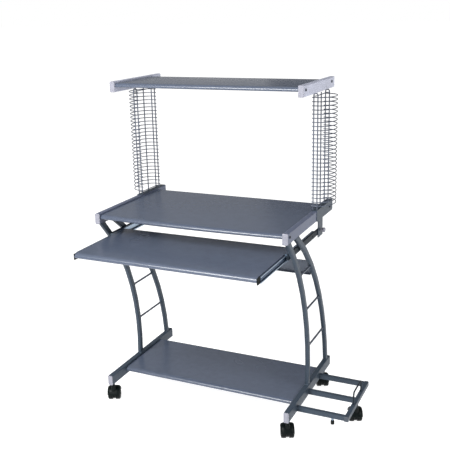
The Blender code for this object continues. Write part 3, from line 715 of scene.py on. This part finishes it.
def leg_weld(bm, node, up):
    """Fillet weld round the level end of a leg, spreading on to the tube it stands on."""
    points = [vertex.co for vertex in frame["nodes"][node].data.vertices]
    level = max(up * point.z for point in points) * up
    end = [point for point in points if abs(point.z - level) < 0.0002]
    low_x, high_x = min(p.x for p in end), max(p.x for p in end)
    low_y, high_y = min(p.y for p in end), max(p.y for p in end)
    centre = Vector(((low_x + high_x) / 2, (low_y + high_y) / 2, level))
    rings = []
    for grow, fall in ((0.0, WELD_R), (WELD_R * 0.35, WELD_R * 0.45), (WELD_R, -0.0003)):
        ring = rounded_ring(high_x - low_x + 2 * grow, high_y - low_y + 2 * grow, 0.005 + grow, 6)
        rings.append([centre + Vector((x, y, -up * fall)) for x, y in ring])
    loft(bm, rings)


def rod_welds(bm, node):
    """Small round welds where a brace rod meets the legs."""
    low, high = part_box(node)
    radius = (high.z - low.z) / 2
    for y, direction in ((low.y, 1.0), (high.y, -1.0)):
        centre = Vector(((low.x + high.x) / 2, y, (low.z + high.z) / 2))
        turned(bm, centre, (0, direction, 0), (
            (-0.0008, radius + 0.0016), (0.0006, radius + 0.0013), (0.0018, radius + 0.0003),
        ), 20)


for label, side in SIDES:
    knob(label, side)
foot()

rear_caps = bmesh.new()
for label, _ in SIDES:
    for tube in ("base_tube_", "desk_rail_", "shelf_rail_"):
        end_plug(rear_caps, tube + label)
piece("rear_caps", rear_caps, CAP_GREY, "frame")

# Screws through the rails into the boards, and along the tray gear.
screws = bmesh.new()
for label, side in SIDES:
    for rail, stations in (("shelf_rail_", (0.0190, 0.3150)), ("desk_rail_", (0.0180,))):
        low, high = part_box(rail + label)
        face = high.x if side > 0 else low.x
        for station in stations:
            screw(screws, (face, low.y + station, (low.z + high.z) / 2 + 0.004), (side, 0, 0))
    low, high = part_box("rack_saddle_" + label)
    face = high.x if side > 0 else low.x
    screw(screws, (face, low.y + 0.1565, (low.z + high.z) / 2), (side, 0, 0))
    low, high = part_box("tray_bar_" + label)
    face = high.x if side > 0 else low.x
    for station in (0.030, 0.150, 0.260):
        screw(screws, (face, low.y + station, (low.z + high.z) / 2), (side, 0, 0), 0.0034)
piece("frame_screws", screws, BOLT, "frame")

welds = bmesh.new()
for label, _ in SIDES:
    for leg in ("leg_front_", "leg_rear_"):
        leg_weld(welds, leg + label, 1.0)
        leg_weld(welds, leg + label, -1.0)
    for number in (1, 2, 3):
        rod_welds(welds, "brace_rod_%s_%d" % (label, number))
piece("frame_welds", welds, LEG_PAINT, "frame", 60.0)


# =================================================================================================
# Floor, light and camera
# =================================================================================================
def studio():
    """Pale floor under a sky that is pale at the horizon and overhead, with four large soft lamps."""
    bm = bmesh.new()
    bmesh.ops.create_grid(bm, x_segments=1, y_segments=1, size=FLOOR_HALF)
    mesh = bpy.data.meshes.new("studio_floor")
    bm.to_mesh(mesh)
    bm.free()
    floor = bpy.data.objects.new("studio_floor", mesh)
    bpy.context.scene.collection.objects.link(floor)
    surface = Shader("studio_floor", 0.95, specular=0.0)
    tone = surface.noise(3.0, 2.0)
    surface.colour(surface.ramp(tone, ((0.3, 0.44), (0.7, 0.46))))
    surface.principled.inputs["Emission Color"].default_value = (1.0, 1.0, 1.0, 1.0)
    surface.principled.inputs["Emission Strength"].default_value = FLOOR_GLOW
    mesh.materials.append(surface.material)

    world = bpy.data.worlds.new("studio")
    bpy.context.scene.world = world
    world.use_nodes = True
    tree = world.node_tree
    direction = tree.nodes.new("ShaderNodeTexCoord").outputs["Generated"]
    split = tree.nodes.new("ShaderNodeSeparateXYZ")
    sky = tree.nodes.new("ShaderNodeValToRGB")
    tree.links.new(direction, split.inputs["Vector"])
    tree.links.new(split.outputs["Z"], sky.inputs["Fac"])
    tree.links.new(sky.outputs["Color"], tree.nodes["Background"].inputs["Color"])
    tree.nodes["Background"].inputs["Strength"].default_value = SKY_STRENGTH
    elements = sky.color_ramp.elements
    while len(elements) < len(SKY):
        elements.new(0.5)
    for element, (height, grey) in zip(elements, SKY):
        element.position = height
        element.color = (grey, grey, grey, 1.0)

    for name, position, size, power in LAMPS:
        data = bpy.data.lights.new(name, "AREA")
        data.shape = "SQUARE"
        data.size = size
        data.energy = power
        lamp = bpy.data.objects.new(name, data)
        bpy.context.scene.collection.objects.link(lamp)
        lamp.location = position
        aim = Vector(LAMP_AIM) - Vector(position)
        lamp.rotation_mode = "QUATERNION"
        lamp.rotation_quaternion = aim.to_track_quat("-Z", "Y")
    bpy.context.scene.view_settings.view_transform = "Standard"


def photo_camera():
    """The camera of the reference view."""
    data = bpy.data.cameras.new("camera")
    data.lens = CAMERA_LENS
    data.sensor_width = 36.0
    data.shift_x, data.shift_y = CAMERA_SHIFT
    made = bpy.data.objects.new("camera", data)
    bpy.context.scene.collection.objects.link(made)
    level = math.cos(CAMERA_PITCH)
    forward = Vector((-math.sin(CAMERA_YAW) * level, math.cos(CAMERA_YAW) * level, math.sin(CAMERA_PITCH)))
    right = Vector((math.cos(CAMERA_YAW), math.sin(CAMERA_YAW), 0.0))
    up = right.cross(forward)
    tilted_right = right * math.cos(CAMERA_ROLL) + up * math.sin(CAMERA_ROLL)
    tilted_up = up * math.cos(CAMERA_ROLL) - right * math.sin(CAMERA_ROLL)
    turn = Matrix((tilted_right, tilted_up, -forward)).transposed()
    made.matrix_world = Matrix.Translation(CAMERA_AT) @ turn.to_4x4()
    bpy.context.scene.camera = made


studio()
photo_camera()
